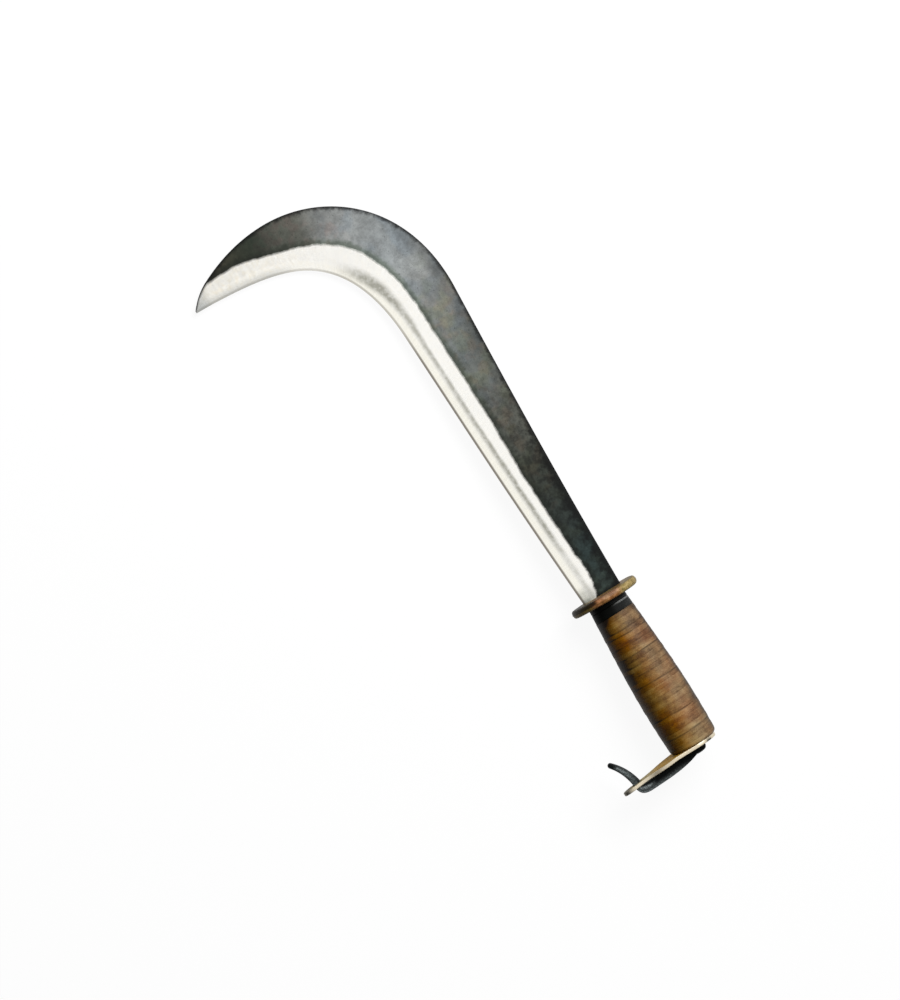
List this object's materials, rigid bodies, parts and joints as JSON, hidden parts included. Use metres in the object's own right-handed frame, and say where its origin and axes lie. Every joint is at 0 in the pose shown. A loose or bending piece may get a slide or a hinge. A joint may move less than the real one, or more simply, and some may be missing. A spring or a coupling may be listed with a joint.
{
  "type": "billhook",
  "caption": "Sickle-nosed billhook with a forged blade ground along its inner edge, a stacked-leather grip, a leather guard disc and a steel pommel plate with a belt hook.",
  "frame": {"origin": "on the tang's axis, half way along the handle between the pommel plate and the guard", "axes": "+X along the tang towards the blade, +Y towards the cutting edge and the belt hook, +Z square to the blade's cheeks"},
  "size_m": [0.4793, 0.1645, 0.051],
  "materials": {
    "blade_steel": "forge scale on the flats, bright ground bevels",
    "guard_leather": "thick waxed sole leather",
    "collar_black": "black, satin",
    "ferrule_black": "blackened steel, satin",
    "grip_leather": "turned and waxed leather washers",
    "plate_steel": "bright, lightly brushed",
    "hook_steel": "forged, black scale"
  },
  "bodies": {
    "root": {"blade": "blade_steel", "guard_disc": "guard_leather", "collar_washer": "collar_black", "ferrule": "ferrule_black", "leather_washer_01": "grip_leather", "leather_washer_02": "grip_leather", "leather_washer_03": "grip_leather", "leather_washer_04": "grip_leather", "leather_washer_05": "grip_leather", "leather_washer_06": "grip_leather", "leather_washer_07": "grip_leather", "leather_washer_08": "grip_leather", "leather_washer_09": "grip_leather", "leather_washer_10": "grip_leather", "leather_washer_11": "grip_leather", "leather_washer_12": "grip_leather", "leather_washer_13": "grip_leather", "leather_washer_14": "grip_leather", "leather_washer_15": "grip_leather", "leather_washer_16": "grip_leather", "leather_washer_17": "grip_leather", "leather_washer_18": "grip_leather", "leather_washer_19": "grip_leather", "leather_washer_20": "grip_leather", "leather_washer_21": "grip_leather", "leather_washer_22": "grip_leather", "leather_washer_23": "grip_leather", "leather_washer_24": "grip_leather", "leather_washer_25": "grip_leather", "leather_washer_26": "grip_leather", "leather_washer_27": "grip_leather", "leather_washer_28": "grip_leather", "pommel_plate": "plate_steel", "belt_hook": "hook_steel"}
  },
  "joints": []
}
